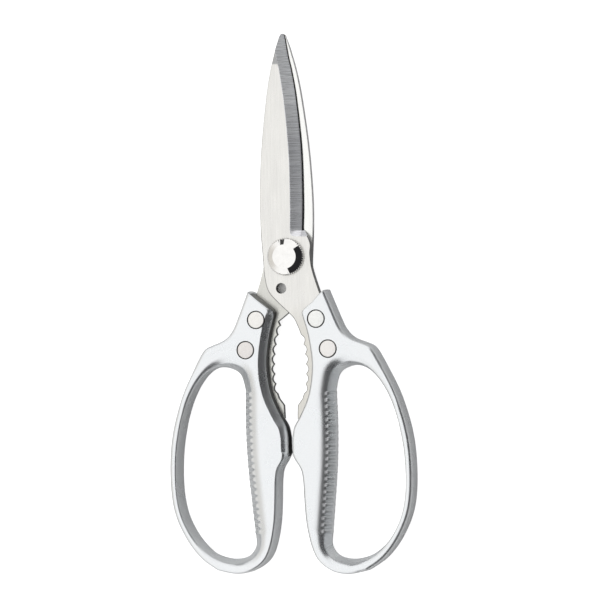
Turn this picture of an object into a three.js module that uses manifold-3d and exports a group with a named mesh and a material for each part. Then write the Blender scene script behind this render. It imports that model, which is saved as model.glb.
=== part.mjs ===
// Poultry shears: two stainless steel blades on one pivot, each riveted into a cast handle.
// Units are millimetres. +X points right, +Y runs from the pivot to the blade tips, +Z faces
// the front. The origin is on the pivot axis, level with the backs of the handles.
//
// The two halves are alike: each is a blade with a toothed jaw on its tang, in a cast handle.
// The front half is modelled here, and the back half is the same half turned over about Y.

import * as THREE from 'three';
import { mergeVertices } from 'three/addons/utils/BufferGeometryUtils.js';
import Module from 'manifold-3d';

const wasm = await Module();
wasm.setup();

// Driving dimensions ------------------------------------------------------------------------

const THICKNESS = 12;                     // handles, front to back
const MID = THICKNESS / 2;                // the plane where the two blades slide on each other
const SLIDE_GAP = 0.15;                   // from that plane to each blade
const BLADE_FRONT = MID + 3;              // front face of the front blade
const BLADE_BACK = MID + SLIDE_GAP;       // back face of the front blade
const FIT_GAP = 0.3;                      // clearance round a piece that sits in another

const EDGE_LAND = 0.3;                    // blade thickness left at the cutting edge
const HANDLE_ROUND = 1.4;                 // how far the handle's edges sit in from its middle
const TOP_ROUND = 0.8;                    // the same, along the short top edge beside the blade
const JAW_ROUND = 2.6;                    // the same for the back edge, along the jaw and stop
const JAW_START = -22;                    // the jaw side runs down from here
const STOP_END = -80;                     // to the end of the stop's flat face
const SCOOP_GRIP = 6.5;                   // width of the rounding inside the ring, at the grip
const SCOOP_OUTER = 1.6;                  // the same, on the far side of the ring

const TOOTH_COUNT = 8;                    // jaw teeth on each tang
const TOOTH_DEPTH = 1.0;
const JAW_RADIUS = 52;                    // the tooth tips lie on this arc
const JAW_CENTRE = new THREE.Vector2(-45, -44.5);
const JAW_TOP = 0.333;                    // angle of the first tooth tip, in radians
const JAW_BOTTOM = -0.199;                // angle of the last tooth tip

const RIB_COUNT = 22;                     // finger ribs along the grip
const RIB_DEPTH = 0.5;

const PIVOT_SHANK_R = 3.0;
const PIVOT_HOLE_R = 3.3;
const PIVOT_FLATS = 4.8;                  // across the two flats that key the bolt to the back blade
const PIVOT_HEAD_R = 7.6;
const PIVOT_FACE_R = 4.8;                 // flat top of the cone head
const PIVOT_TOP = 12.5;                   // height of that flat top, just proud of the handles
const PIVOT_THREAD_R = 2.2;
const THREAD_GAP = 0.1;                   // stands for the thread between bolt and nut
const LOCATING_HOLE = { x: -2.4, y: -12.6, r: 2.15 };

const RIVETS = [
  { place: 'upper', x: 12.4, y: -25 },
  { place: 'lower', x: 17, y: -37 },
];
const RIVET_HEAD_R = 3.4;
const RIVET_HEAD_HEIGHT = 1.6;
const RIVET_SLEEVE_R = 2.5;
const RIVET_PIN_R = 1.5;
const RIVET_SIDES = 16;
const PIVOT_SIDES = 28;

// Geometry helpers --------------------------------------------------------------------------

const at = (x, y) => new THREE.Vector2(x, y);

// A closed geometry as a manifold solid.
function solid(geometry) {
  const bare = geometry.clone();
  bare.deleteAttribute('normal');
  bare.deleteAttribute('uv');
  const merged = mergeVertices(bare);
  const corners = merged.index.array;
  const kept = [];
  for (let i = 0; i < corners.length; i += 3) {
    const [a, b, c] = corners.slice(i, i + 3);
    if (a !== b && b !== c && c !== a) {
      kept.push(a, b, c);
    }
  }
  return new wasm.Manifold(new wasm.Mesh({
    numProp: 3,
    vertProperties: new Float32Array(merged.attributes.position.array),
    triVerts: new Uint32Array(kept),
  }));
}

// A manifold solid as a three.js geometry.
function geometryOf(body) {
  const mesh = body.getMesh();
  const geometry = new THREE.BufferGeometry();
  geometry.setAttribute('position', new THREE.BufferAttribute(mesh.vertProperties, 3));
  geometry.setIndex(new THREE.BufferAttribute(mesh.triVerts, 1));
  geometry.computeVertexNormals();
  return geometry;
}

// A flat outline made into a plate from one height to another, with its edge moved out by grow.
function plate(outline, low, high, grow = 0) {
  const geometry = new THREE.ExtrudeGeometry(outline, {
    depth: high - low,
    curveSegments: 3,
    bevelEnabled: grow !== 0,
    bevelSize: 0,
    bevelThickness: 0,
    bevelOffset: grow,
    bevelSegments: 1,
  });
  geometry.translate(0, 0, low);
  return solid(geometry);
}

// A round post with its axis along Z.
function post(x, y, radius, low, high) {
  const geometry = new THREE.CylinderGeometry(radius, radius, high - low, 24);
  geometry.rotateX(Math.PI / 2);
  geometry.translate(x, y, (low + high) / 2);
  return solid(geometry);
}

// A block given by two opposite corners.
function block(low, high) {
  const geometry = new THREE.BoxGeometry(high[0] - low[0], high[1] - low[1], high[2] - low[2]);
  geometry.translate((low[0] + high[0]) / 2, (low[1] + high[1]) / 2, (low[2] + high[2]) / 2);
  return solid(geometry);
}

// A turned piece: radius and height pairs spun about Z.
function turned(profile, sides, x = 0, y = 0) {
  const geometry = new THREE.LatheGeometry(profile.map(([radius, height]) => at(radius, height)), sides);
  geometry.rotateX(Math.PI / 2);
  geometry.translate(x, y, 0);
  return solid(geometry);
}

// A closed skin over rings of the same number of points, one ring at each height, lowest first.
// Every ring runs anticlockwise, and the first and last are capped.
function skin(rings) {
  const count = rings[0].points.length;
  const positions = rings.flatMap(({ points, height }) => points.flatMap((p) => [p.x, p.y, height]));
  const index = [];
  for (let level = 0; level < rings.length - 1; level += 1) {
    for (let i = 0; i < count; i += 1) {
      const next = (i + 1) % count;
      const low = level * count;
      const high = low + count;
      index.push(low + i, low + next, high + next, low + i, high + next, high + i);
    }
  }
  const top = (rings.length - 1) * count;
  for (const [a, b, c] of THREE.ShapeUtils.triangulateShape(rings[0].points, [])) {
    index.push(c, b, a);
  }
  for (const [a, b, c] of THREE.ShapeUtils.triangulateShape(rings.at(-1).points, [])) {
    index.push(top + a, top + b, top + c);
  }
  const geometry = new THREE.BufferGeometry();
  geometry.setAttribute('position', new THREE.Float32BufferAttribute(positions, 3));
  geometry.setIndex(index);
  return solid(geometry);
}

// Outward direction at each point of an anticlockwise ring, longer at a corner so that a ring
// moved along it keeps its distance from both of the corner's sides.
function outward(points) {
  const sideways = (from, to) => at(to.y - from.y, from.x - to.x).normalize();
  return points.map((here, i) => {
    const before = sideways(points.at(i - 1), here);
    const after = sideways(here, points[(i + 1) % points.length]);
    const middle = before.clone().add(after).normalize();
    return middle.divideScalar(Math.max(middle.dot(before), 0.7));
  });
}

// Blade -------------------------------------------------------------------------------------

const CUTTING_EDGE = [at(6.8, 11.2), at(7.2, 22), at(7.0, 42.6), at(5.3, 62.6), at(3.6, 73.9),
  at(2.4, 79.5), at(1.05, 87.6)];
const GRIND_LINE = [at(1.7, 10.4), at(2.0, 22), at(1.9, 41), at(0.5, 61), at(-1.4, 75.5),
  at(-2.4, 80.5)];
const PAST_TIP = 92;                      // the grinding cut runs on to here, beyond the tip

// Points down the toothed jaw: the tips lie on an arc and the hollows between them are round.
function jawPoints() {
  const stepsPerTooth = 4;
  const steps = (TOOTH_COUNT - 1) * stepsPerTooth;
  const points = [];
  for (let i = 0; i <= steps; i += 1) {
    const angle = THREE.MathUtils.lerp(JAW_TOP, JAW_BOTTOM, i / steps);
    const hollow = TOOTH_DEPTH * Math.sin(Math.PI * (i % stepsPerTooth) / stepsPerTooth);
    const radius = JAW_RADIUS + hollow;
    points.push(at(radius * Math.cos(angle), radius * Math.sin(angle)).add(JAW_CENTRE));
  }
  return points;
}

// The side of the tang that lies inside the handle, from its lower end up to the blade.
const TANG_HIDDEN = [at(5.4, -66.2), at(11, -60.5), at(14.8, -51.5), at(18, -43.5),
  at(21.8, -38.5), at(20.8, -32), at(17.2, -24.5), at(13.1, -13.5)];

// Outline of the front blade and its tang, anticlockwise from the tip.
function bladeOutline() {
  const outline = new THREE.Shape();
  const tip = CUTTING_EDGE.at(-1);
  outline.moveTo(tip.x, tip.y);
  outline.splineThru([at(0.8, 88.8), at(0.1, 89.4), at(-0.8, 89), at(-1.3, 87.8)]);
  outline.splineThru([at(-2.75, 82.7), at(-5.05, 73.9), at(-7.05, 62.6), at(-9.4, 43),
    at(-10.5, 24), at(-10.4, 11), at(-9.7, -1)]);
  outline.splineThru([at(-9.2, -8), at(-7.6, -14), at(-3.2, -19), at(0.4, -22.4), at(2.9, -24.4)]);
  outline.lineTo(4.9, -25.9);
  for (const point of jawPoints()) {
    outline.lineTo(point.x, point.y);
  }
  outline.lineTo(5.3, -56.8);
  outline.lineTo(3.3, -59.5);
  outline.lineTo(3.1, -64.8);
  outline.lineTo(TANG_HIDDEN[0].x, TANG_HIDDEN[0].y);
  outline.splineThru(TANG_HIDDEN.slice(1));
  outline.splineThru([at(10.6, -5.2), at(9.9, 0.8), at(10.2, 4.6), at(9.2, 7.6)]);
  outline.lineTo(CUTTING_EDGE[0].x, CUTTING_EDGE[0].y);
  outline.splineThru(CUTTING_EDGE.slice(1));
  return outline;
}

// What the grinding wheel takes off: everything above the slope from the grind line on the
// front face to the cutting edge on the back face.
function grindWaste() {
  const steps = 18;
  const above = 0.3;
  const clear = 20;
  const heel = GRIND_LINE[0].y;
  const beyond = [at(clear, PAST_TIP), at(clear, heel)];
  const edge = new THREE.SplineCurve([...CUTTING_EDGE, at(0.4, PAST_TIP)]).getPoints(steps);
  const line = new THREE.SplineCurve([...GRIND_LINE, at(-5, PAST_TIP)]).getPoints(steps);
  return skin([
    { height: BLADE_BACK + EDGE_LAND, points: [...edge, ...beyond].reverse() },
    { height: BLADE_FRONT + above, points: [...line, ...beyond].reverse() },
  ]);
}

// The front blade. A keyed blade has a pivot hole with two flats, which hold the bolt still.
function blade(keyed) {
  let body = plate(bladeOutline(), BLADE_BACK, BLADE_FRONT).subtract(grindWaste());
  let pivotHole = post(0, 0, PIVOT_HOLE_R, MID, BLADE_FRONT + 1);
  if (keyed) {
    const half = PIVOT_FLATS / 2 + FIT_GAP;
    const flats = block([-PIVOT_HOLE_R, -half, 0], [PIVOT_HOLE_R, half, THICKNESS]);
    pivotHole = pivotHole.intersect(flats);
  }
  body = body.subtract(pivotHole);
  body = body.subtract(post(LOCATING_HOLE.x, LOCATING_HOLE.y, LOCATING_HOLE.r, MID, BLADE_FRONT + 1));
  for (const { x, y } of RIVETS) {
    body = body.subtract(post(x, y, RIVET_SLEEVE_R + FIT_GAP, MID, BLADE_FRONT + 1));
  }
  return body;
}

// Handle ------------------------------------------------------------------------------------

// Outside of the right handle at its fullest, anticlockwise from the top corner.
function handleOutline() {
  const outline = new THREE.Shape();
  outline.moveTo(15.9, -13.2);
  outline.lineTo(6.4, -20.6);
  outline.splineThru([at(5.4, -22.3), at(5.7, -24.4)]);
  outline.splineThru([at(7.9, -32.5), at(9.1, -43.5), at(7.6, -54.5), at(4.0, -63), at(1.4, -67.6),
    at(0.4, -72.4)]);
  outline.lineTo(0.4, -79);
  outline.splineThru([at(2.5, -82), at(4.5, -85.4), at(5.2, -90)]);
  outline.splineThru([at(6.2, -107), at(9.5, -119.5), at(15.6, -125.3), at(23, -126.9), at(31, -125.5)]);
  outline.splineThru([at(38.1, -120.4), at(44.4, -112), at(48.9, -101), at(50.2, -87), at(49.0, -71.5),
    at(44.8, -56.4), at(39.3, -44.6), at(36.2, -38.8)]);
  outline.splineThru([at(34.2, -36.2), at(31, -34.7)]);
  outline.splineThru([at(26, -32.6), at(22.7, -29.1), at(20.3, -24)]);
  return outline.getPoints(2).slice(0, -1);
}

// The ribbed stretch of the ring's opening, down the grip, one rib to every two steps.
function gripStretch() {
  return new THREE.SplineCurve([at(18.6, -53.5), at(18.9, -68), at(18.4, -83), at(17.2, -97),
    at(15.8, -111.5)]);
}

// The rest of the opening, from the bottom of the grip round to its top.
function openStretch() {
  return new THREE.SplineCurve([at(15.8, -111.5), at(15.7, -115.6), at(18.2, -119.4), at(23, -121),
    at(28.5, -120.5), at(34.2, -118.1), at(39.9, -113), at(44.1, -106.2), at(46.4, -98.7),
    at(47.3, -89.7), at(46.9, -79), at(45.6, -70.2), at(44, -63.3), at(41, -55.5), at(37.4, -49.5),
    at(33.3, -45.5), at(28.7, -43.9), at(24, -44.6), at(20.3, -47.3), at(18.6, -53.5)]);
}

// How far the surface has drawn in at a height, from 0 in the middle to 1 at either face. A
// higher squareness keeps the wall upright for longer before it rounds over.
function drawnIn(height, squareness) {
  const rise = Math.min(Math.abs(height - MID) / MID, 1);
  return 1 - (1 - rise ** squareness) ** (1 / squareness);
}

const HANDLE_LEVELS = [-1, -0.87, -0.6, 0, 0.6, 0.87, 1].map((share) => MID + MID * share);

// How far the edge is rounded in at a point of the outline that faces a given way. The jaw
// side is rounded widely at the back only.
function edgeRound(point, normal, height) {
  const topEdge = at(-0.61, 0.79);
  if (normal.dot(topEdge) > 0.85 && point.y > JAW_START) {
    return TOP_ROUND;
  }
  const onJaw = normal.x < -0.6 && point.y > STOP_END;
  return onJaw && height < MID ? JAW_ROUND : HANDLE_ROUND;
}

// The casting's outer skin, with rounded front and back edges.
function handleBody() {
  const points = handleOutline();
  const normals = outward(points);
  return skin(HANDLE_LEVELS.map((height) => ({
    height,
    points: points.map((p, i) => {
      const inset = edgeRound(p, normals[i], height) * drawnIn(height, 3);
      return p.clone().addScaledVector(normals[i], -inset);
    }),
  })));
}

// The space inside the finger ring. It opens out towards both faces, most of all on the grip
// side, and the ribs stand into it along the grip.
function ringSpace() {
  const grip = gripStretch().getSpacedPoints(2 * RIB_COUNT).slice(0, -1);
  const points = [...grip, ...openStretch().getPoints(30).slice(0, -1)];
  const normals = outward(points);
  return skin(HANDLE_LEVELS.map((height) => ({
    height,
    points: points.map((p, i) => {
      const towardsGrip = THREE.MathUtils.clamp((1 - normals[i].x) / 2, 0, 1);
      const scoop = SCOOP_OUTER + (SCOOP_GRIP - SCOOP_OUTER) * towardsGrip ** 1.4;
      const groove = i < grip.length && i % 2 === 0 ? RIB_DEPTH * (1 - drawnIn(height, 2)) : 0;
      return p.clone().addScaledVector(normals[i], scoop * drawnIn(height, 2) + groove);
    }),
  })));
}

// The slot that the tang lies in, open towards the jaw and the blade.
function tangSlot() {
  const outline = new THREE.Shape();
  outline.moveTo(11.8, -9);
  outline.lineTo(0, -9);
  outline.lineTo(0, -66.2);
  outline.lineTo(TANG_HIDDEN[0].x, TANG_HIDDEN[0].y);
  outline.splineThru(TANG_HIDDEN.slice(1));
  return plate(outline, BLADE_BACK - FIT_GAP, BLADE_FRONT + FIT_GAP, FIT_GAP);
}

// A stepped bore for one rivet: a narrow middle with a counterbore for each head.
function rivetBore(x, y) {
  const headR = RIVET_HEAD_R + FIT_GAP;
  const headDepth = RIVET_HEAD_HEIGHT + FIT_GAP;
  return post(x, y, RIVET_SLEEVE_R + FIT_GAP, -1, THICKNESS + 1)
    .add(post(x, y, headR, -1, headDepth))
    .add(post(x, y, headR, THICKNESS - headDepth, THICKNESS + 1));
}

function handle() {
  let body = handleBody().subtract(ringSpace()).subtract(tangSlot());
  for (const { x, y } of RIVETS) {
    body = body.subtract(rivetBore(x, y));
  }
  return body;
}

// Rivets ------------------------------------------------------------------------------------

// The hollow half of a two-part rivet: a front head with a sleeve that is open at the back.
function rivetSleeve({ x, y }) {
  const under = THICKNESS - RIVET_HEAD_HEIGHT;
  const mouth = RIVET_HEAD_HEIGHT + FIT_GAP;
  const bore = RIVET_PIN_R + FIT_GAP;
  return turned([[0, under], [bore, under], [bore, mouth], [RIVET_SLEEVE_R, mouth],
    [RIVET_SLEEVE_R, under], [RIVET_HEAD_R, under], [RIVET_HEAD_R, THICKNESS], [0, THICKNESS]],
  RIVET_SIDES, x, y);
}

// The solid half: a back head with a pin that is driven into the sleeve.
function rivetPin({ x, y }) {
  const tip = THICKNESS - RIVET_HEAD_HEIGHT - FIT_GAP;
  return turned([[0, 0], [RIVET_HEAD_R, 0], [RIVET_HEAD_R, RIVET_HEAD_HEIGHT],
    [RIVET_PIN_R, RIVET_HEAD_HEIGHT], [RIVET_PIN_R, tip], [0, tip]], RIVET_SIDES, x, y);
}

// Pivot -------------------------------------------------------------------------------------

const NUT_HEIGHT = 2.2;
const NUT_R = 6.5;
const NUT_CHAMFER = 0.5;
const NUT_SLOT_WIDTH = 1.5;
const NUT_SLOT_DEPTH = 0.9;
const BOLT_CHAMFER = 0.3;
const WASHER_R = 7.2;
const WASHER_THICKNESS = 0.3;
const WASHER_GAP = 0.05;                  // between faces that are clamped together
const HEAD_UNDER = BLADE_FRONT + WASHER_THICKNESS + 2 * WASHER_GAP;
const HEAD_RIM = 0.5;                     // height of the head's upright rim, below the cone
const SHANK_END = THICKNESS - BLADE_FRONT + WASHER_GAP;

// The bolt: a cone head in front, a round shank through both blades with two flats where it
// passes the back blade, and a threaded end that finishes level with the nut.
function pivotBolt() {
  const body = turned([[0, 0], [PIVOT_THREAD_R - BOLT_CHAMFER, 0], [PIVOT_THREAD_R, BOLT_CHAMFER],
    [PIVOT_THREAD_R, SHANK_END], [PIVOT_SHANK_R, SHANK_END], [PIVOT_SHANK_R, HEAD_UNDER],
    [PIVOT_HEAD_R, HEAD_UNDER], [PIVOT_HEAD_R, HEAD_UNDER + HEAD_RIM], [PIVOT_FACE_R, PIVOT_TOP],
    [0, PIVOT_TOP]], PIVOT_SIDES);
  const keyTop = MID - SLIDE_GAP;
  const half = PIVOT_FLATS / 2;
  const past = PIVOT_SHANK_R + 1;
  return body
    .subtract(block([-past, half, SHANK_END], [past, past, keyTop]))
    .subtract(block([-past, -past, SHANK_END], [past, -half, keyTop]));
}

// A flat washer with a round hole.
function washer(radius, holeRadius, low) {
  const high = low + WASHER_THICKNESS;
  return turned([[holeRadius, low], [radius, low], [radius, high], [holeRadius, high],
    [holeRadius, low]], PIVOT_SIDES);
}

// The round nut on the back, with a slot across it for a driver.
function pivotNut() {
  const bore = PIVOT_THREAD_R + THREAD_GAP;
  const body = turned([[bore, 0], [NUT_R - NUT_CHAMFER, 0], [NUT_R, NUT_CHAMFER], [NUT_R, NUT_HEIGHT],
    [bore, NUT_HEIGHT], [bore, 0]], PIVOT_SIDES);
  const half = NUT_SLOT_WIDTH / 2;
  return body.subtract(block([-NUT_R - 1, -half, -1], [NUT_R + 1, half, NUT_SLOT_DEPTH]));
}

// Materials and assembly --------------------------------------------------------------------

const metal = (color, roughness) => new THREE.MeshStandardMaterial({ color, roughness, metalness: 1 });
const bladeSteel = () => metal(0xe2e0dc, 0.35);
const castAluminium = () => metal(0xd8dcde, 0.45);
const rivetSteel = () => metal(0xd9d5cf, 0.4);
const polishedSteel = () => metal(0xe6e4e0, 0.12);

function addPiece(group, name, body, material) {
  const mesh = new THREE.Mesh(geometryOf(body), material);
  mesh.name = name;
  group.add(mesh);
}

// One blade in its handle, as the front half.
function shearHalf(bladeName, side, keyed) {
  const half = new THREE.Group();
  addPiece(half, bladeName, blade(keyed), bladeSteel());
  addPiece(half, `${side}_handle`, handle(), castAluminium());
  for (const rivet of RIVETS) {
    addPiece(half, `${side}_${rivet.place}_rivet_sleeve`, rivetSleeve(rivet), rivetSteel());
    addPiece(half, `${side}_${rivet.place}_rivet_pin`, rivetPin(rivet), rivetSteel());
  }
  return half;
}

function pivot() {
  const group = new THREE.Group();
  const washerFront = BLADE_FRONT + WASHER_GAP;
  const washerBack = THICKNESS - BLADE_FRONT - WASHER_THICKNESS - WASHER_GAP;
  addPiece(group, 'pivot_bolt', pivotBolt(), polishedSteel());
  addPiece(group, 'pivot_front_washer', washer(WASHER_R, PIVOT_HOLE_R, washerFront), polishedSteel());
  addPiece(group, 'pivot_back_washer', washer(WASHER_R, PIVOT_HOLE_R, washerBack), polishedSteel());
  addPiece(group, 'pivot_nut', pivotNut(), polishedSteel());
  return group;
}

const shears = new THREE.Group();
const frontHalf = shearHalf('front_blade', 'right', false);
const backHalf = shearHalf('back_blade', 'left', true);
backHalf.rotation.y = Math.PI;
backHalf.position.z = THICKNESS;
shears.add(frontHalf, backHalf, pivot());

export default shears;
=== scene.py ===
"""The looks of the poultry shears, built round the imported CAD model.

Pieces are shaped in millimetres and scaled to metres as they are finished. +X points right, +Y
runs from the pivot to the blade tips and +Z faces the front, as in the CAD model. The back half
is the front half turned over about the Y axis.
"""

import math

import bmesh
import bpy
import numpy as np
from mathutils import Matrix, Vector
from mathutils.geometry import delaunay_2d_cdt


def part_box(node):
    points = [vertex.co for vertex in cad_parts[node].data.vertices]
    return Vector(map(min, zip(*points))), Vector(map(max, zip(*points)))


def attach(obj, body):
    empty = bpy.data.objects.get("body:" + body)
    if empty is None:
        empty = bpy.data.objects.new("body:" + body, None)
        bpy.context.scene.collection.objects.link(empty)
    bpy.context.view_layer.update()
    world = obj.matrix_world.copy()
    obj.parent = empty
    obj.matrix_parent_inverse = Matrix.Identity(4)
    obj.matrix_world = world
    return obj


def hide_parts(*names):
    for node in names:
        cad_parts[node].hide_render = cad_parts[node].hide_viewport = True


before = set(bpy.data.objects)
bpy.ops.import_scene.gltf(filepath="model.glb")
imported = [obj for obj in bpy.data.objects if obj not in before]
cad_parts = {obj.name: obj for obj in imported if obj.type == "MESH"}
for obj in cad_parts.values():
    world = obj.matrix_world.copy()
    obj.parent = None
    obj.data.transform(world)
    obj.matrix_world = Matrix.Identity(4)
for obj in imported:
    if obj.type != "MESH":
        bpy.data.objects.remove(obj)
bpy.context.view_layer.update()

# Driving dimensions, in millimetres -----

MM = 0.001
X, Y, Z = 0, 1, 2
WHITE = (1.0, 1.0, 1.0)


def reach(node, axis):
    """Lowest and highest value of a CAD node along an axis."""
    low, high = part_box(node)
    return low[axis] / MM, high[axis] / MM


def centre(node):
    """Middle of a CAD node in plan."""
    return sum(reach(node, X)) / 2, sum(reach(node, Y)) / 2


def radius_of(node):
    """Radius of a round CAD node."""
    low, high = reach(node, X)
    return (high - low) / 2


HANDLE_BACK, HANDLE_FRONT = reach("right_handle", Z)
BLADE_BACK, BLADE_FRONT = reach("front_blade", Z)
THICKNESS = HANDLE_FRONT - HANDLE_BACK
HALF = THICKNESS / 2
MID = HANDLE_BACK + HALF
FIT_GAP = 0.3
PAST_FACE = 1  # how far a cutting tool reaches past a face

EDGE_DEPTH = 1.8  # how far down the handle's outer edges are rounded
EDGE_WIDTH = 1.1  # how far in they are rounded
TOP_WIDTH = 0.7  # the same, along the short top edge beside the blade
TOP_BACK_WIDTH = 1.0  # the same edge at the back
SIDE_WIDTH = 1.6  # the same, along the outer side beside the rivets
RING_WIDTH = 1.5  # the same, along the outer side of the ring
JAW_WIDTH = 2.9  # the jaw and the stop are slanted at the back, this far in
JAW_DEPTH = 2.7
JAW_SLOPES = (40, 54)  # degrees from upright at the slant's foot and at the face
DRAFT = 0.15  # how far the wall leans in between the middle and the round
JAW_DRAFT = 0.9  # the same, along the jaw and the stop in front
SCOOP_GRIP = 7.4  # width of the rounding inside the ring, at the grip
SCOOP_OUTER = 1.2  # the same, on the far side of the ring
CREST_FLAT = 0.5  # flat left between the scoop and the round, all round the ring
SCOOP_SLOPE = 51  # slope in degrees at which the slant meets the round
CREST = 0.8  # half the height of the upright crest below the slant
RIB_COUNT = 22
RIB_HEIGHT = 0.8

TOOTH_COUNT = 8
TOOTH_DEPTH = 1.0
JAW_RADIUS = 52  # of the arc that the tooth tips lie on
JAW_CENTRE = (-45, -44.5)
JAW_TOP = 0.333  # where that arc starts and ends, in radians from +X
JAW_BOTTOM = -0.199
FACE_ROUND = 0.45  # radius of the blade's blanked edge on its front face
INNER_ROUND = 0.1  # the same, on the face that slides on the other blade

EDGE_LAND = 0.1  # thickness left at the cutting edge
MICRO_HEEL = 0.6  # width of the narrow second bevel along the edge, at the heel
MICRO_TIP = 0.28  # the same, at the tip
HOLLOW = 0.02  # how much the wide bevel dips, as a share of its height
HEEL = 10.4  # where the wide bevel stops
HEEL_RUN = 2.6  # length of the ramp below it

PIVOT_SHANK_R = 3.0
PIVOT_HOLE_R = 3.3
PIVOT_FLATS = 4.8  # across the two flats that key the bolt to the back blade
PIVOT_FACE_R = 4.8
PIVOT_THREAD_R = 2.2
THREAD_GAP = 0.1  # between the bolt's thread and the nut's bore
HEAD_RIM = 1.1  # height of the head's upright rim, below the cone
SEAT_GAP = 0.05  # between the head and the washer under it
SHANK_OVERRUN = 0.85  # how far above the nut the shank ends
KNURL_COUNT = 48
KNURL_DEPTH = 0.42
KNURL_RUNOUT = 0.6  # how far into the cone the knurl runs
NUT_SLOT_WIDTH = 1.5
NUT_SLOT_DEPTH = 0.9
LOCATING_HOLE = (-2.4, -12.6)
LOCATING_HOLE_R = 2.15
DIMPLE_R = 2.25  # of the recess facing the other blade's locating hole
DIMPLE_DEPTH = 1.3

RIVET_HEAD_HEIGHT = 1.6
RIVET_SLEEVE_R = 2.5
RIVET_PIN_R = 1.5

# Lines in plan -----


def curve(points, steps=24):
    """A smooth line through the points."""
    knots = np.array(points, float)
    padded = np.vstack([knots[:1], knots, knots[-1:]])
    share = np.linspace(0, 1, steps, endpoint=False)[:, None]
    spans = []
    for before, start, end, after in zip(padded, padded[1:], padded[2:], padded[3:]):
        leaving = (end - before) / 2
        arriving = (after - start) / 2
        cubic = 2 * start - 2 * end + leaving + arriving
        square = 3 * end - 3 * start - 2 * leaving - arriving
        spans.append(((cubic * share + square) * share + leaving) * share + start)
    return np.vstack([*spans, knots[-1:]])


def evenly(line, count):
    """The line again as count equal steps."""
    steps = np.linalg.norm(np.diff(line, axis=0), axis=1)
    walked = np.concatenate([[0], np.cumsum(steps)])
    wanted = np.linspace(0, walked[-1], count + 1)
    return np.column_stack([np.interp(wanted, walked, line[:, axis]) for axis in (X, Y)])


def spaced(line, spacing):
    """The line again in equal steps of about the given length."""
    length = np.linalg.norm(np.diff(line, axis=0), axis=1).sum()
    return evenly(line, max(1, round(length / spacing)))


def outline(start, stretches, spacing):
    """A closed outline. Each stretch is a smooth line through its points from the last one's end."""
    walked = []
    here = start
    for stretch in [*stretches, [start]]:
        if math.dist(here, stretch[-1]) > spacing / 10:
            walked.append(spaced(curve([here, *stretch]), spacing)[:-1])
        here = stretch[-1]
    return np.vstack(walked)


def softened(values, radius, spacing):
    """Values round a closed outline, averaged over about the given length."""
    span = math.ceil(3 * radius / spacing)
    offsets = np.arange(-span, span + 1)
    weights = np.exp(-0.5 * (offsets * spacing / radius) ** 2)
    weights /= weights.sum()
    shifted = [np.roll(values, offset, axis=0) for offset in offsets]
    return sum(weight * line for weight, line in zip(weights, shifted))


def outward(ring):
    """Unit direction pointing out of an anticlockwise ring, at each of its points."""
    along = np.roll(ring, -1, axis=0) - np.roll(ring, 1, axis=0)
    along /= np.linalg.norm(along, axis=1)[:, None]
    return np.column_stack([along[:, Y], -along[:, X]])


def across(a, b):
    """Cross product of vectors in plan."""
    return a[..., X] * b[..., Y] - a[..., Y] * b[..., X]


LONGEST_FOLD = 40  # points of a ring that may fold over at one corner
PARALLEL = 1e-12


def uncrossed(ring):
    """Where a ring folds over itself at a corner, its folded points are gathered at the crossing."""
    ring = ring.copy()
    for gap in range(LONGEST_FOLD, 1, -1):
        step = np.roll(ring, -1, axis=0) - ring
        far = np.roll(ring, -gap, axis=0)
        far_step = np.roll(ring, -gap - 1, axis=0) - far
        turn = across(step, far_step)
        turn[np.abs(turn) < PARALLEL] = np.inf
        near_share = across(far - ring, far_step) / turn
        far_share = across(far - ring, step) / turn
        inside = (near_share > 0) & (near_share < 1) & (far_share > 0) & (far_share < 1)
        for index in np.flatnonzero(inside):
            crossing = ring[index] + near_share[index] * step[index]
            ring[(index + 1 + np.arange(gap)) % len(ring)] = crossing
    return ring


def moved_out(ring, distance):
    """The ring moved outwards by a distance, which may differ from point to point."""
    return uncrossed(ring + outward(ring) * np.reshape(distance, (-1, 1)))


# Meshes -----

SAME_POINT = 2e-4  # points nearer than this are made one
ON_LINE = 1e-5  # how near a point of a cap counts as on an edge
ON_AXIS = 1e-9  # a smaller radius is a point on the axis of a turned piece


def level(ring, heights):
    """A ring in plan as points in space. The heights are one number or one for each point."""
    return np.column_stack([ring, np.broadcast_to(heights, len(ring))])


def add_wall(mesh, rings, inwards=False):
    """Joins anticlockwise rings, lowest first. The wall faces outwards unless it is told otherwise."""
    rows = [[mesh.verts.new(point) for point in ring] for ring in rings]
    for low, high in zip(rows, rows[1:]):
        for i in range(len(low)):
            corners = [low[i - 1], low[i], high[i], high[i - 1]]
            mesh.faces.new(reversed(corners) if inwards else corners)


def add_cap(mesh, loops, faces_up):
    """A flat face with the first loop as its edge and any other loops as holes."""
    height = loops[0][0][Z]
    plan = []
    bounds = []
    for loop in loops:
        bounds.append(list(range(len(plan), len(plan) + len(loop))))
        plan.extend(Vector(point[:2]) for point in loop)
    inside_with_holes = 2
    points, _, faces, *_ = delaunay_2d_cdt(plan, [], bounds, inside_with_holes, ON_LINE)
    corners = [mesh.verts.new((*point, height)) for point in points]
    for face in faces:
        picked = [corners[i] for i in face]
        mesh.faces.new(picked if faces_up else reversed(picked))


def as_object(name, mesh, *materials):
    """The edited mesh as an object, with points that coincide made one."""
    bmesh.ops.remove_doubles(mesh, verts=mesh.verts, dist=SAME_POINT)
    bmesh.ops.dissolve_degenerate(mesh, dist=SAME_POINT / 2, edges=mesh.edges)
    data = bpy.data.meshes.new(name)
    mesh.to_mesh(data)
    mesh.free()
    for material in materials:
        data.materials.append(material)
    made = bpy.data.objects.new(name, data)
    bpy.context.scene.collection.objects.link(made)
    return made


def stacked(name, rings, *materials):
    """A solid through anticlockwise rings, lowest first, capped at both ends."""
    mesh = bmesh.new()
    add_wall(mesh, rings)
    add_cap(mesh, [rings[0]], faces_up=False)
    add_cap(mesh, [rings[-1]], faces_up=True)
    return as_object(name, mesh, *materials)


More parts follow.
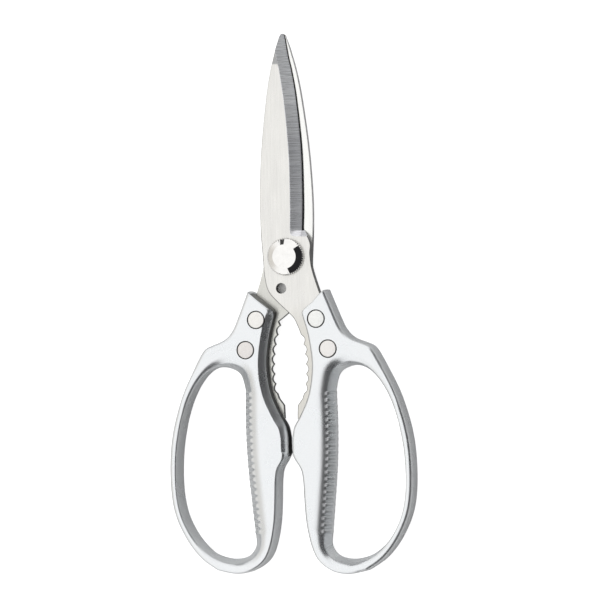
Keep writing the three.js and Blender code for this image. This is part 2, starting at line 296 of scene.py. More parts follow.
def post(x, y, radius, low, high, material, sides=64):
    """A round post with its axis along Z."""
    angles = np.arange(sides) * math.tau / sides
    ring = np.column_stack([x + radius * np.cos(angles), y + radius * np.sin(angles)])
    return stacked("post", [level(ring, low), level(ring, high)], material)


def block(low, high, material):
    """A block given by two opposite corners."""
    corners = [(low[X], low[Y]), (high[X], low[Y]), (high[X], high[Y]), (low[X], high[Y])]
    ring = np.array(corners, float)
    return stacked("block", [level(ring, low[Z]), level(ring, high[Z])], material)


def combined(body, tool, operation):
    """Applies a boolean of the tool to the body. Faces that the tool leaves keep its material."""
    modifier = body.modifiers.new("combine", "BOOLEAN")
    modifier.operation = operation
    modifier.solver = "EXACT"
    modifier.material_mode = "TRANSFER"
    modifier.object = tool
    graph = bpy.context.evaluated_depsgraph_get()
    made = bpy.data.meshes.new_from_object(body.evaluated_get(graph))
    body.modifiers.clear()
    body.data = made
    bpy.data.objects.remove(tool)
    return body


def cut(body, tool):
    """Takes the tool's space out of the body."""
    return combined(body, tool, "DIFFERENCE")


def rounded(corners, radius, steps=5):
    """A profile of (radius, height, share) corners, each rounded by its share of the radius."""
    places = [np.array(corner[:2], float) for corner in corners]
    made = [places[0]]
    for before, here, after, corner in zip(places, places[1:], places[2:], corners[1:]):
        share = corner[2] if len(corner) > 2 else 0
        if not share:
            made.append(here)
            continue
        arrive = (before - here) / np.linalg.norm(before - here)
        leave = (after - here) / np.linalg.norm(after - here)
        opening = math.acos(np.clip(arrive @ leave, -1, 1))
        setback = radius * share / math.tan(opening / 2)
        start = here + arrive * setback
        end = here + leave * setback
        for t in np.linspace(0, 1, steps):
            made.append((1 - t) ** 2 * start + 2 * t * (1 - t) * here + t**2 * end)
    return [*made, places[-1]]


def turned(name, profile, material, x=0.0, y=0.0, sides=72, flute=None):
    """A piece turned about Z from a profile of (radius, height) points, lowest first on the outside.
    A profile that starts and ends on the axis makes a solid piece, and a closed one makes a ring.
    flute(radius, height, angle) may change the radius on the way round."""
    mesh = bmesh.new()
    rows = []
    for radius, height in profile:
        if radius < ON_AXIS:
            rows.append([mesh.verts.new((x, y, height))] * sides)
            continue
        row = []
        for side in range(sides):
            angle = math.tau * side / sides
            r = flute(radius, height, angle) if flute else radius
            row.append(mesh.verts.new((x + r * math.cos(angle), y + r * math.sin(angle), height)))
        rows.append(row)
    for low, high in zip(rows, rows[1:]):
        for i in range(sides):
            corners = []
            for corner in (low[i - 1], low[i], high[i], high[i - 1]):
                if corner not in corners:
                    corners.append(corner)
            mesh.faces.new(corners)
    return as_object(name, mesh, material)


# Handle -----

HANDLE_SPACING = 0.6
HANDLE_START = (15.9, -13.2)
HANDLE_STRETCHES = [
    [(6.4, -20.6)],
    [(5.4, -22.3), (5.7, -24.4)],
    [(7.9, -32.5), (9.1, -43.5), (7.6, -54.5), (4.0, -63), (1.4, -67.6), (0.4, -72.4)],
    [(0.35, -79)],
    [(2.5, -82), (4.5, -85.4), (5.2, -90)],
    [(6.2, -107), (9.5, -119.5), (15.6, -125.3), (23, -126.9), (31, -125.5)],
    [(38.1, -120.4), (44.4, -112), (48.9, -101), (50.2, -87), (49.0, -71.5), (44.8, -56.4),
     (39.3, -44.6), (36.2, -38.8)],
    [(34.2, -36.2), (31, -34.7)],
    [(26, -32.6), (22.7, -29.1), (20.3, -24)],
]
GRIP = [(18.6, -53.5), (18.9, -68), (18.4, -83), (17.2, -97), (15.8, -111.5)]
RING_REST = [
    GRIP[-1], (15.7, -115.6), (18.2, -119.4), (23, -121), (28.5, -120.5), (34.2, -118.1),
    (39.9, -113), (44.1, -106.2), (46.4, -98.7), (47.3, -89.7), (46.9, -79), (45.6, -70.2),
    (44, -63.3), (41, -55.5), (37.4, -49.5), (33.3, -45.5), (28.7, -43.9), (24, -44.6),
    (20.3, -47.3), GRIP[0],
]
TANG_HIDDEN = [(5.4, -66.2), (11, -60.5), (14.8, -51.5), (18, -43.5), (21.8, -38.5), (20.8, -32),
               (17.2, -24.5), (13.1, -13.5)]
SLOT_MOUTH = [(11.8, -9), (0, -9), (0, -66.2)]
SLOT_SPACING = 0.5

TOP_FACING = (-0.61, 0.79)  # the way the short top edge beside the blade faces
TOP_END = 14.6  # where that edge ends, along X
JAW_SPAN = (-80, -22)  # where the jaw side and the stop run, along Y
JAW_REACH = 12  # they lie nearer to the middle than this, along X
SIDE_FOOT = -45  # where the outer side beside the rivets ends, along Y
RING_SIDE_TOP = -60  # where the outer side of the ring begins, along Y
TOP_COSINE = 0.85  # cosine of the angle by which each may face away
JAW_COSINE = 0.6
SIDE_COSINE = 0.3
RING_COSINE = 0.2
JAW_FACE_COSINE = 0.5  # the same, for the mesh's faces
TOP_FACE_COSINE = 0.7
CORNER_BLEND = 0.45  # how far the corners of the outline are softened
EDGE_BLEND = 1.4  # how far one stretch's round runs into the next
ROUND_STEPS = 12

SCOOP_BLEND = 1.5  # how far one stretch's scoop runs into the next
SCOOP_FADE = 1.6  # how quickly the scoop narrows away from the grip
SLANT_FADE = 0.3  # how far round from the grip the slant goes
SLANT_BOTTOM = 0.9  # how slanted the scoop is at the bottom of the ring
SLANT_SHARE = 0.45  # share of the scoop's rings that lie on its slant
SLANT_WIDTHS = (3, 7)  # on a wider scoop the round is a larger share of it
SLANT_ROUNDS = (0.65, 0.85)
SCOOP_STEPS = 25
CREST_STEP = 0.6  # share of the crest's height with a ring of its own

STEPS_PER_RIB = 14
RIB_SHARPNESS = 2.4  # how square the ribs are
RIB_FULLNESS = 0.25  # how much of each gap they fill
RIB_FOOT = 0.3  # where they begin above the crest, and their run up
RIB_FOOT_RUN = 0.8
RIB_HEAD = 1.3  # where they end below the face, and their run down
RIB_HEAD_RUN = 0.12


def both_sides(to_back, to_front):
    """Rings from the middle to each face, both drawn upwards, as rings from the back to the front."""
    below = [ring * (1, 1, -1) for ring in to_back[:0:-1]]
    return [ring + (0, 0, MID) for ring in [*below, *to_front]]


def edge_shape(ring, at_back):
    """The outer round at each point of the handle's outline: its width, its depth, its slopes from
    upright at its foot and where it meets the face, and how far the wall leans in below it."""
    facing = outward(ring)
    x, y = ring.T
    on_top = (facing @ TOP_FACING > TOP_COSINE) & (y > JAW_SPAN[1])
    along_jaw = (facing[:, X] < -JAW_COSINE) & (x < JAW_REACH) & (y > JAW_SPAN[0])
    on_jaw = at_back & along_jaw
    on_side = (facing[:, X] > SIDE_COSINE) & (y > SIDE_FOOT)
    on_ring = (facing[:, X] > RING_COSINE) & (y < RING_SIDE_TOP)
    top = TOP_BACK_WIDTH if at_back else TOP_WIDTH
    widths = [top, JAW_WIDTH, SIDE_WIDTH, RING_WIDTH]
    width = np.select([on_top, on_jaw, on_side, on_ring], widths, EDGE_WIDTH)
    depth = np.select([on_top, on_jaw], [top, JAW_DEPTH], EDGE_DEPTH)
    foot = np.where(on_jaw, math.radians(JAW_SLOPES[0]), 0)
    head = np.where(on_jaw, math.radians(JAW_SLOPES[1]), math.pi / 2)
    draft = np.where(along_jaw & (not at_back), JAW_DRAFT, DRAFT)
    shape = (width, depth, foot, head, draft)
    return [softened(values, EDGE_BLEND, HANDLE_SPACING) for values in shape]


def outer_levels(ring, at_back):
    """Rings of the handle's outer skin from the middle to one face, as if that face were the front:
    a wall with a little draft, and then the round."""
    width, depth, foot, head, draft = edge_shape(ring, at_back)
    rings = [level(ring, 0), level(moved_out(ring, -draft / 2), (HALF - depth) / 2)]
    for share in np.linspace(0, 1, ROUND_STEPS):
        angle = foot + (head - foot) * share
        inset = draft + width * (np.cos(foot) - np.cos(angle)) / (np.cos(foot) - np.cos(head))
        rise = (np.sin(angle) - np.sin(foot)) / (np.sin(head) - np.sin(foot))
        rings.append(level(moved_out(ring, -inset), HALF - depth * (1 - rise)))
    return rings


def handle_outside():
    """Rings of the handle's outer skin, from the back face to the front face."""
    ring = outline(HANDLE_START, HANDLE_STRETCHES, HANDLE_SPACING)
    ring = softened(ring, CORNER_BLEND, HANDLE_SPACING)
    return both_sides(outer_levels(ring, at_back=True), outer_levels(ring, at_back=False))


def ring_outline():
    """The finger ring's opening, and how far through the ribs each of its points is: 0 at the first
    rib's upper side, RIB_COUNT at the last rib's lower side, and -1 where there are no ribs."""
    grip = evenly(curve(GRIP), RIB_COUNT * STEPS_PER_RIB)
    rest = spaced(curve(RING_REST), HANDLE_SPACING)[1:-1]
    through = np.concatenate([np.arange(len(grip)) / STEPS_PER_RIB, np.full(len(rest), -1.0)])
    return np.vstack([grip, rest]), through


def scoop_shape(ring, outer_edges):
    """Width of the scoop at each point of the opening, and how slanted it is from 0 to 1. It is
    widest at the grip, always inside the faces' outer edges, and slanted at the grip and the bottom."""
    facing = outward(ring)
    towards_grip = np.clip((1 - facing[:, X]) / 2, 0, 1)
    share = np.sin(towards_grip * math.pi / 2) ** SCOOP_FADE
    room = np.linalg.norm(ring[:, None] - outer_edges[None, :, :2], axis=2).min(axis=1)
    width = np.minimum(SCOOP_OUTER + (SCOOP_GRIP - SCOOP_OUTER) * share, room - CREST_FLAT)
    at_grip = (towards_grip - 0.5) / SLANT_FADE
    slant = np.clip(np.maximum(at_grip, -SLANT_BOTTOM * facing[:, Y]), 0, 1)
    return [softened(values, SCOOP_BLEND, HANDLE_SPACING) for values in (width, slant)]


def scoop_profile(width, slant, share):
    """How far the scoop has drawn back from the opening, and its height above the middle, at a share
    of the way from the crest to the face. Without a slant it is a quarter round, and with one it
    is a straight slope that ends in a tighter round."""
    crest = (HALF - width) * (1 - slant) + CREST * slant
    tight = np.interp(width, SLANT_WIDTHS, SLANT_ROUNDS)
    radius = width * (1 + (tight - 1) * slant)
    slope = np.radians(90 + (SCOOP_SLOPE - 90) * slant)
    foot_x = width - radius * np.sin(slope)
    foot_z = HALF - radius * (1 - np.cos(slope))
    if share <= SLANT_SHARE:
        up = share / SLANT_SHARE
        return foot_x * up, crest + (foot_z - crest) * up
    angle = slope * (1 - share) / (1 - SLANT_SHARE)
    return width - radius * np.sin(angle), HALF - radius * (1 - np.cos(angle))


def ring_inside(outer_edges):
    """Rings of the opening's skin, with the finger ribs standing on the grip's slant."""
    ring, through = ring_outline()
    width, slant = scoop_shape(ring, outer_edges)
    wave = np.cos((through - 0.5) * math.tau)
    rib = np.where(through < 0, 0, 0.5 + 0.5 * np.tanh(RIB_SHARPNESS * (wave + RIB_FULLNESS)))
    crest = scoop_profile(width, slant, 0)[1]
    samples = [(np.zeros(len(ring)), crest * share) for share in (0, CREST_STEP)]
    samples += [scoop_profile(width, slant, share) for share in np.linspace(0, 1, SCOOP_STEPS)]
    rings = []
    for back, height in samples:
        from_crest = np.clip((height - CREST - RIB_FOOT) / RIB_FOOT_RUN, 0, 1)
        from_face = np.clip((HALF - RIB_HEAD - height) / RIB_HEAD_RUN, 0, 1)
        raised = RIB_HEIGHT * rib * from_crest * from_face
        rings.append(level(moved_out(ring, back - raised), height))
    return both_sides(rings, rings)


def tang_slot(material):
    """The slot that the tang lies in, open towards the jaw and the blade."""
    straight = [[corner] for corner in (*SLOT_MOUTH[1:], TANG_HIDDEN[0])]
    ring = moved_out(outline(SLOT_MOUTH[0], [*straight, TANG_HIDDEN[1:]], SLOT_SPACING), FIT_GAP)
    heights = (BLADE_BACK - FIT_GAP, BLADE_FRONT + FIT_GAP)
    return stacked("slot", [level(ring, height) for height in heights], material)


def cut_rivet_bore(body, node, material):
    """A stepped bore for one rivet, with a counterbore for each head."""
    x, y = centre(node)
    head_r = radius_of(node) + FIT_GAP
    head_depth = RIVET_HEAD_HEIGHT + FIT_GAP
    low = HANDLE_BACK - PAST_FACE
    high = HANDLE_FRONT + PAST_FACE
    cut(body, post(x, y, RIVET_SLEEVE_R + FIT_GAP, low, high, material))
    cut(body, post(x, y, head_r, low, HANDLE_BACK + head_depth, material))
    cut(body, post(x, y, head_r, HANDLE_FRONT - head_depth, high, material))


def mark_handle_faces(body):
    """Gives the jaw's upright wall the second material, its painted shade, and the back of the top edge
    the third, a darker grey.
    """
    for face in body.data.polygons:
        x, y, z = face.center
        in_jaw = x < JAW_REACH and JAW_SPAN[0] < y < JAW_SPAN[1]
        upright = JAW_DEPTH < z - HANDLE_BACK < THICKNESS - EDGE_DEPTH
        on_top = x < TOP_END and y > JAW_SPAN[1] and z < MID
        faces_up = face.normal @ Vector((*TOP_FACING, 0)) > TOP_FACE_COSINE
        if in_jaw and upright and face.normal.x < -JAW_FACE_COSINE:
            face.material_index = 1
        elif on_top and faces_up:
            face.material_index = 2


def handle(material, shade_paint, darker_top_edge):
    """The right handle. Its jaw's upright wall, tang slot and rivet bores are painted near-black as
    painted shade, and the short top edge is darker at the back."""
    outside = handle_outside()
    inside = ring_inside(np.vstack([outside[0], outside[-1]]))
    mesh = bmesh.new()
    add_wall(mesh, outside)
    add_wall(mesh, inside, inwards=True)
    add_cap(mesh, [outside[0], inside[0]], faces_up=False)
    add_cap(mesh, [outside[-1], inside[-1]], faces_up=True)
    body = as_object("handle", mesh, material, shade_paint, darker_top_edge)
    mark_handle_faces(body)
    cut(body, tang_slot(shade_paint))
    for place in ("upper", "lower"):
        cut_rivet_bore(body, f"right_{place}_rivet_sleeve", shade_paint)
    return body


# Blade -----

BLADE_SPACING = 0.35
BLANK_BLEND = 0.14  # how far the corners of the outline are softened
CUTTING_EDGE = [(6.8, 11.2), (7.2, 22), (7.0, 42.6), (5.3, 62.6), (3.6, 73.9), (2.4, 79.5), (1.05, 87.6)]
GRIND_LINE = [(1.7, 10.4), (2.0, 22), (1.9, 41), (0.5, 61), (-1.4, 75.5), (-2.4, 80.5)]
EDGE_PAST_TIP = (0.4, 92)  # where the wheel leaves the steel, past the tip
LINE_PAST_TIP = [(-4.2, 88), (-5, 92)]
GRIND_ROWS = 120
GRIND_SHARES = [*np.linspace(1.1, 0, 15)]
JUST_OUTSIDE = 0.1  # how far out from the edge the second bevel runs on
WELL_OUTSIDE = 3.0  # how far out the ground surface ends
STEPS_PER_TOOTH = 12
CLEAR = 0.1  # how far above the front face the heel's ramp ends
FLAT_COSINE = 0.9  # a face whose normal is nearer to Z than this is flat
PAST_SHANK = 5  # reach of the blocks that shape the bolt's flats and their hole


def jaw_points():
    """Points down the toothed jaw: the tips lie on an arc and the hollows between them are round."""
    share = np.arange((TOOTH_COUNT - 1) * STEPS_PER_TOOTH + 1) / STEPS_PER_TOOTH
    angle = JAW_TOP + (JAW_BOTTOM - JAW_TOP) * share / (TOOTH_COUNT - 1)
    radius = JAW_RADIUS + TOOTH_DEPTH * np.abs(np.sin(math.pi * share))
    return np.column_stack([radius * np.cos(angle), radius * np.sin(angle)]) + JAW_CENTRE


def blade_outline(stepped):
    """Outline of the blade and its tang, from the tip. A stepped one has a step above the first tooth,
    and the other runs into the second tooth in one smooth line."""
    jaw = [tuple(point) for point in jaw_points()]
    into_jaw = [(2.6, -24.9), (4.2, -28.3)]
    first_tooth = []
    if stepped:
        into_jaw = [(2.9, -24.4)]
        first_tooth = [[(4.9, -25.9)], *([point] for point in jaw[:STEPS_PER_TOOTH])]
    stretches = [
        [(0.8, 88.8), (0.1, 89.4), (-0.8, 89), (-1.3, 87.8)],
        [(-2.75, 82.7), (-5.05, 73.9), (-7.05, 62.6), (-9.4, 43), (-10.5, 24), (-10.4, 11), (-9.7, -1)],
        [(-9.2, -8), (-7.6, -14), (-3.2, -19), (0.4, -22.4), *into_jaw],
        *first_tooth,
        *([point] for point in jaw[STEPS_PER_TOOTH:]),
        [(5.3, -56.8)],
        [(3.3, -59.5)],
        [(3.1, -64.8)],
        [TANG_HIDDEN[0]],
        TANG_HIDDEN[1:],
        [(10.6, -5.2), (9.9, 0.8), (10.2, 4.6), (9.2, 7.6)],
        [CUTTING_EDGE[0]],
        CUTTING_EDGE[1:],
    ]
    return softened(outline(CUTTING_EDGE[-1], stretches, BLADE_SPACING), BLANK_BLEND, BLADE_SPACING)


def bevel_height(from_edge, width, micro):
    """Height of the ground surface at a distance in from the cutting edge, on a bevel of a width
    whose narrow second bevel has the width micro and rises by as much."""
    edge = BLADE_BACK + EDGE_LAND
    shoulder = edge + micro
    share = (from_edge - micro) / (width - micro)
    wide = shoulder + (BLADE_FRONT - shoulder) * (share - HOLLOW * math.sin(math.pi * min(share, 1)))
    return wide if share > 0 else edge + from_edge


def ground_row(y, edge, line):
    """Points across the ground surface at one y, from behind the grind line to outside the edge.
    Below the heel the surface climbs out of the steel."""
    edge_x = np.interp(max(y, CUTTING_EDGE[0][1]), edge[:, Y], edge[:, X])
    width = edge_x - np.interp(max(y, HEEL), line[:, Y], line[:, X])
    micro = np.interp(y, (HEEL, CUTTING_EDGE[-1][1]), (MICRO_HEEL, MICRO_TIP))
    ramp = max(HEEL - y, 0) / HEEL_RUN
    row = []
    for from_edge in [*(micro + (width - micro) * share for share in GRIND_SHARES), 0, -JUST_OUTSIDE]:
        height = bevel_height(from_edge, width, micro)
        row.append((edge_x - from_edge, y, height + (BLADE_FRONT + CLEAR - height) * ramp))
    last = row[-1][Z]
    row.append((edge_x + WELL_OUTSIDE, y, last + (BLADE_FRONT + CLEAR - last) * ramp))
    return row


def grind_waste(bevel_material, micro_material):
    """What the grinding wheels take off the blade: all that is above the bevels and the heel's ramp."""
    edge = curve([*CUTTING_EDGE, EDGE_PAST_TIP])
    line = curve([*GRIND_LINE, *LINE_PAST_TIP])
    places = [HEEL - HEEL_RUN, HEEL - HEEL_RUN / 2, *np.linspace(HEEL, EDGE_PAST_TIP[1], GRIND_ROWS)]
    slices = []
    for y in places:
        row = ground_row(y, edge, line)
        slices.append([*row, *((x, y, BLADE_FRONT + 2 * PAST_FACE) for x, y, _ in reversed(row))])
    mesh = bmesh.new()
    add_wall(mesh, slices, inwards=True)
    for index, face in enumerate(mesh.faces):
        row, column = divmod(index, len(slices[0]))
        on_micro = len(GRIND_SHARES) <= column < len(slices[0]) / 2
        face.material_index = 1 if on_micro and places[row] >= HEEL else 0
    for outermost in (slices[0], slices[-1][::-1]):
        mesh.faces.new([mesh.verts.new(point) for point in outermost])
    return as_object("waste", mesh, bevel_material, micro_material)


def blank(ring, steels):
    """The blanked blade. Its front edge is rounded and its inner one is nearly sharp."""
    rings = []
    for angle in np.linspace(-math.pi / 2, 0, 4):
        inset = INNER_ROUND * (1 - math.cos(angle))
        rings.append(level(moved_out(ring, -inset), BLADE_BACK + INNER_ROUND * (1 + math.sin(angle))))
    for angle in np.linspace(0, math.pi / 2, 6):
        inset = FACE_ROUND * (1 - math.cos(angle))
        rings.append(level(moved_out(ring, -inset), BLADE_FRONT - FACE_ROUND * (1 - math.sin(angle))))
    body = stacked("blade", rings, steels["face"], steels["wall"], steels["inner"])
    for face in body.data.polygons:
        if face.normal.z < -FLAT_COSINE:
            face.material_index = 2
        elif face.normal.z < FLAT_COSINE:
            face.material_index = 1
    return body


def blade(keyed, steels):
    """The front blade. A keyed blade has a pivot hole with two flats, which hold the bolt still."""
    low = BLADE_BACK - PAST_FACE
    high = BLADE_FRONT + PAST_FACE
    body = blank(blade_outline(stepped=keyed), steels)
    cut(body, grind_waste(steels["bevel"], steels["micro"]))
    hole = post(0, 0, PIVOT_HOLE_R, low, high, steels["wall"])
    if keyed:
        half = PIVOT_FLATS / 2 + FIT_GAP
        corners = (-PAST_SHANK, -half, 0), (PAST_SHANK, half, THICKNESS)
        combined(hole, block(*corners, steels["wall"]), "INTERSECT")
    cut(body, hole)
    x, y = LOCATING_HOLE
    # the locating hole's wall is painted near-black as painted shade
    cut(body, post(x, y, LOCATING_HOLE_R, low, high, steels["hole_shade"]))
    cut(body, post(-x, y, DIMPLE_R, low, BLADE_BACK + DIMPLE_DEPTH, steels["dimple"]))
    for place in ("upper", "lower"):
        x, y = centre(f"right_{place}_rivet_sleeve")
        cut(body, post(x, y, RIVET_SLEEVE_R + FIT_GAP, low, high, steels["wall"]))
    return body


# Rivets -----

RIVET_EDGE = 0.5  # radius of the rounding, of which each corner has a share


def rivet_sleeve(node, material):
    """The hollow half of a two-part rivet: a front head with a sleeve that is open at the back."""
    x, y = centre(node)
    head_r = radius_of(node)
    under = HANDLE_FRONT - RIVET_HEAD_HEIGHT
    mouth = HANDLE_BACK + RIVET_HEAD_HEIGHT + FIT_GAP
    bore = RIVET_PIN_R + FIT_GAP
    corners = [(0, under), (bore, under, 0), (bore, mouth, 0.4), (RIVET_SLEEVE_R, mouth, 0.4),
               (RIVET_SLEEVE_R, under, 0), (head_r, under, 0.5), (head_r, HANDLE_FRONT, 1),
               (0, HANDLE_FRONT)]
    return turned("sleeve", rounded(corners, RIVET_EDGE), material, x, y)


def rivet_pin(node, material):
    """The solid half: a back head with a pin that is driven into the sleeve."""
    x, y = centre(node)
    head_r = radius_of(node)
    tip = HANDLE_FRONT - RIVET_HEAD_HEIGHT - FIT_GAP
    top = HANDLE_BACK + RIVET_HEAD_HEIGHT
    corners = [(0, HANDLE_BACK), (head_r, HANDLE_BACK, 1), (head_r, top, 0.5), (RIVET_PIN_R, top, 0),
               (RIVET_PIN_R, tip, 1), (0, tip)]
    return turned("pin", rounded(corners, RIVET_EDGE), material, x, y)


# Pivot -----

BOLT_EDGE = 0.3
WASHER_EDGE = 0.2


def pivot_bolt(material):
    """A cone head with a knurled rim, a shank with two flats, and a threaded end."""
    head_r = reach("pivot_bolt", X)[1]
    foot, top = reach("pivot_bolt", Z)
    under = reach("pivot_front_washer", Z)[1] + SEAT_GAP
    shank_end = reach("pivot_nut", Z)[1] + SHANK_OVERRUN
    rim_top = under + HEAD_RIM
    past_knurl = head_r - KNURL_RUNOUT
    past_knurl_top = rim_top + (top - rim_top) * (head_r - past_knurl) / (head_r - PIVOT_FACE_R)
    corners = [(0, foot), (PIVOT_THREAD_R, foot, 1), (PIVOT_THREAD_R, shank_end, 0),
               (PIVOT_SHANK_R, shank_end, 0.5), (PIVOT_SHANK_R, under, 0), (head_r, under, 0.3),
               (head_r, rim_top, 0.5), (past_knurl, past_knurl_top, 0), (PIVOT_FACE_R, top, 1), (0, top)]

    def knurl(radius, height, angle):
        on_rim = radius > head_r - BOLT_EDGE and height < rim_top + BOLT_EDGE / 2
        groove = KNURL_DEPTH * (0.5 - 0.5 * math.cos(KNURL_COUNT * angle))
        return radius - groove if on_rim else radius

    profile = rounded(corners, BOLT_EDGE)
    bolt = turned("bolt", profile, material, sides=KNURL_COUNT * 4, flute=knurl)
    for start, end in ((PIVOT_FLATS / 2, PAST_SHANK), (-PAST_SHANK, -PIVOT_FLATS / 2)):
        corners = (-PAST_SHANK, start, shank_end), (PAST_SHANK, end, BLADE_BACK - FIT_GAP)
        cut(bolt, block(*corners, material))
    return bolt


def washer(node, material):
    """A flat washer with its rims rounded."""
    low, high = reach(node, Z)
    radius = reach(node, X)[1]
    corners = [(PIVOT_HOLE_R, (low + high) / 2), (PIVOT_HOLE_R, low, 0.3), (radius, low, 0.5),
               (radius, high, 0.5), (PIVOT_HOLE_R, high, 0.3), (PIVOT_HOLE_R, (low + high) / 2)]
    return turned("washer", rounded(corners, WASHER_EDGE, steps=3), material)


def pivot_nut(material):
    """The round nut on the back, with a slot across it for a driver."""
    low, high = reach("pivot_nut", Z)
    radius = reach("pivot_nut", X)[1]
    bore = PIVOT_THREAD_R + THREAD_GAP
    corners = [(bore, (low + high) / 2), (bore, low, 1), (radius, low, 2.5), (radius, high, 0.5),
               (bore, high, 0.5), (bore, (low + high) / 2)]
    nut = turned("nut", rounded(corners, WASHER_EDGE), material)
    slot = (radius + PAST_FACE, NUT_SLOT_WIDTH / 2, low + NUT_SLOT_DEPTH)
    return cut(nut, block((-slot[X], -slot[Y], low - PAST_FACE), slot, material))


# Materials -----


class Nodes:
    """A node tree under construction."""

    def __init__(self, tree):
        self.tree = tree

    def node(self, kind, **settings):
        made = self.tree.nodes.new(kind)
        for name, value in settings.items():
            setattr(made, name, value)
        return made

    def feed(self, value, target):
        """Links a node's output to an input, or sets the input to a number or a colour."""
        if isinstance(value, bpy.types.NodeSocket):
            self.tree.links.new(value, target)
        else:
            target.default_value = (*value, 1) if isinstance(value, tuple) else value

    def seen(self):
        """1 where the camera looks straight at a surface and 0 where light or a reflection does."""
        return self.node("ShaderNodeLightPath").outputs["Is Camera Ray"]

    def parts(self, vector):
        """The X, Y and Z of a vector."""
        node = self.node("ShaderNodeSeparateXYZ")
        self.feed(vector, node.inputs["Vector"])
        return node.outputs

    def maths(self, operation, *values):
        node = self.node("ShaderNodeMath", operation=operation)
        for value, target in zip(values, node.inputs):
            self.feed(value, target)
        return node.outputs["Value"]

    def spread(self, value, low=0, high=1, start=0.3, end=0.7, steps="LINEAR"):
        """A value remapped from start..end to low..high."""
        node = self.node("ShaderNodeMapRange", interpolation_type=steps)
        self.feed(value, node.inputs["Value"])
        for name, number in (("From Min", start), ("From Max", end), ("To Min", low), ("To Max", high)):
            self.feed(number, node.inputs[name])
        return node.outputs["Result"]

    def blend(self, amount, first, second=WHITE, kind="MIX"):
        """A colour between two, by an amount from 0 to 1."""
        node = self.node("ShaderNodeMix", data_type="RGBA", blend_type=kind)
        for name, value in (("Factor", amount), ("A", first), ("B", second)):
            self.feed(value, node.inputs[name])
        return node.outputs["Result"]


class Shader(Nodes):
    """A material with a Principled shader to feed. Its sizes and places are in millimetres."""

    def __init__(self, name, colour, roughness, metallic=1.0):
        self.material = bpy.data.materials.new(name)
        self.material.use_nodes = True
        super().__init__(self.material.node_tree)
        self.inputs = self.tree.nodes["Principled BSDF"].inputs
        for name, value in (("Base Color", colour), ("Roughness", roughness), ("Metallic", metallic)):
            self.feed(value, self.inputs[name])
        self.colour = colour
        self.place = self.node("ShaderNodeTexCoord").outputs["Object"]

    def grain(self, size, detail=3, roughness=0.5):
        """Noise from 0 to 1 whose features have the given size along X, Y and Z."""
        mapping = self.node("ShaderNodeMapping")
        mapping.inputs["Scale"].default_value = [1 / (length * MM) for length in size]
        self.feed(self.place, mapping.inputs["Vector"])
        noise = self.node("ShaderNodeTexNoise")
        self.feed(mapping.outputs["Vector"], noise.inputs["Vector"])
        for name, value in (("Scale", 1.0), ("Detail", detail), ("Roughness", roughness)):
            self.feed(value, noise.inputs[name])
        return noise.outputs["Fac"]

    def along_y(self, start, end):
        """0 to 1 between two places along Y."""
        return self.spread(self.parts(self.place)["Y"], 0, 1, start * MM, end * MM)

    def tinted(self, value, dark, light):
        """The material's colour, darker to lighter by a value from 0 to 1."""
        shades = [tuple(channel * share for channel in self.colour) for share in (dark, light)]
        return self.blend(value, *shades)

    def paint(self, colour, *filters):
        """The base colour, multiplied by each of the filters."""
        for layer in filters:
            colour = self.blend(1.0, colour, layer, "MULTIPLY")
        self.feed(colour, self.inputs["Base Color"])

    def polish(self, roughness):
        self.feed(roughness, self.inputs["Roughness"])

    def emboss(self, *layers):
        """Bump from (value, depth) layers."""
        normal = None
        for value, depth in layers:
            bump = self.node("ShaderNodeBump")
            self.feed(1.0, bump.inputs["Strength"])
            self.feed(depth * MM, bump.inputs["Distance"])
            self.feed(value, bump.inputs["Height"])
            if normal:
                self.feed(normal, bump.inputs["Normal"])
            normal = bump.outputs["Normal"]
        self.feed(normal, self.inputs["Normal"])


def brushed_steel():
    """Blade faces: fine grain along the blade, with faint cloudiness and stray scratches."""
    s = Shader("blade_face", (0.79, 0.78, 0.75), 0.3)
    grain = s.grain((0.16, 14, 0.16))
    scratch = s.grain((0.5, 6, 0.5), detail=4, roughness=0.7)
    cloud = s.grain((5, 16, 5))
    fine = s.tinted(s.spread(grain), 0.93, 1.05)
    broad = s.blend(s.spread(cloud), (0.95, 0.95, 0.955))
    # painted shade: the face is darker towards the tang
    shade_towards_tang = s.blend(s.along_y(-30, -18), (0.88, 0.87, 0.84))
    at_tip = s.blend(s.along_y(76.8, 77.4), WHITE, (0.5, 0.51, 0.53))
    s.paint(fine, broad, shade_towards_tang, at_tip)
    s.polish(s.spread(scratch, 0.24, 0.36))
    s.emboss((grain, 0.004), (scratch, 0.006))
    return s.material


def lapped_steel():
    """The flat inner face of a blade, ground bright so that the two blades slide on each other."""
    s = Shader("blade_inner", (0.91, 0.91, 0.885), 0.24)
    grain = s.grain((0.14, 10, 0.14))
    cloud = s.grain((4, 12, 4))
    fine = s.tinted(s.spread(grain), 0.96, 1.03)
    broad = s.blend(s.spread(cloud), (0.96, 0.96, 0.965))
    # painted shade: the inner face is darker towards the tang, where the other blade shades it
    shade_towards_tang = s.blend(s.along_y(-9, 2), (0.72, 0.715, 0.69))
    s.paint(fine, broad, shade_towards_tang)
    s.polish(s.spread(cloud, 0.2, 0.3))
    s.emboss((grain, 0.003))
    return s.material


def sawn_steel(name, colour, roughness, metallic=1.0, tang_shade=1.0):
    """Surfaces left as they were cut, with marks through them. The tang's may be darker by a share, as
    painted shade.
    """
    s = Shader(name, colour, roughness, metallic)
    marks = s.grain((0.3, 0.3, 3))
    blotch = s.grain((1.6, 1.6, 1.6))
    fine = s.tinted(s.spread(marks), 0.8, 1.1)
    broad = s.blend(s.spread(blotch), (0.85, 0.85, 0.85))
    # painted shade: darker towards the tang
    along = s.blend(s.along_y(8, 13), (tang_shade,) * 3)
    s.paint(fine, broad, along)
    s.polish(s.spread(blotch, roughness - 0.06, roughness + 0.08))
    s.emboss((marks, 0.01))
    return s.material


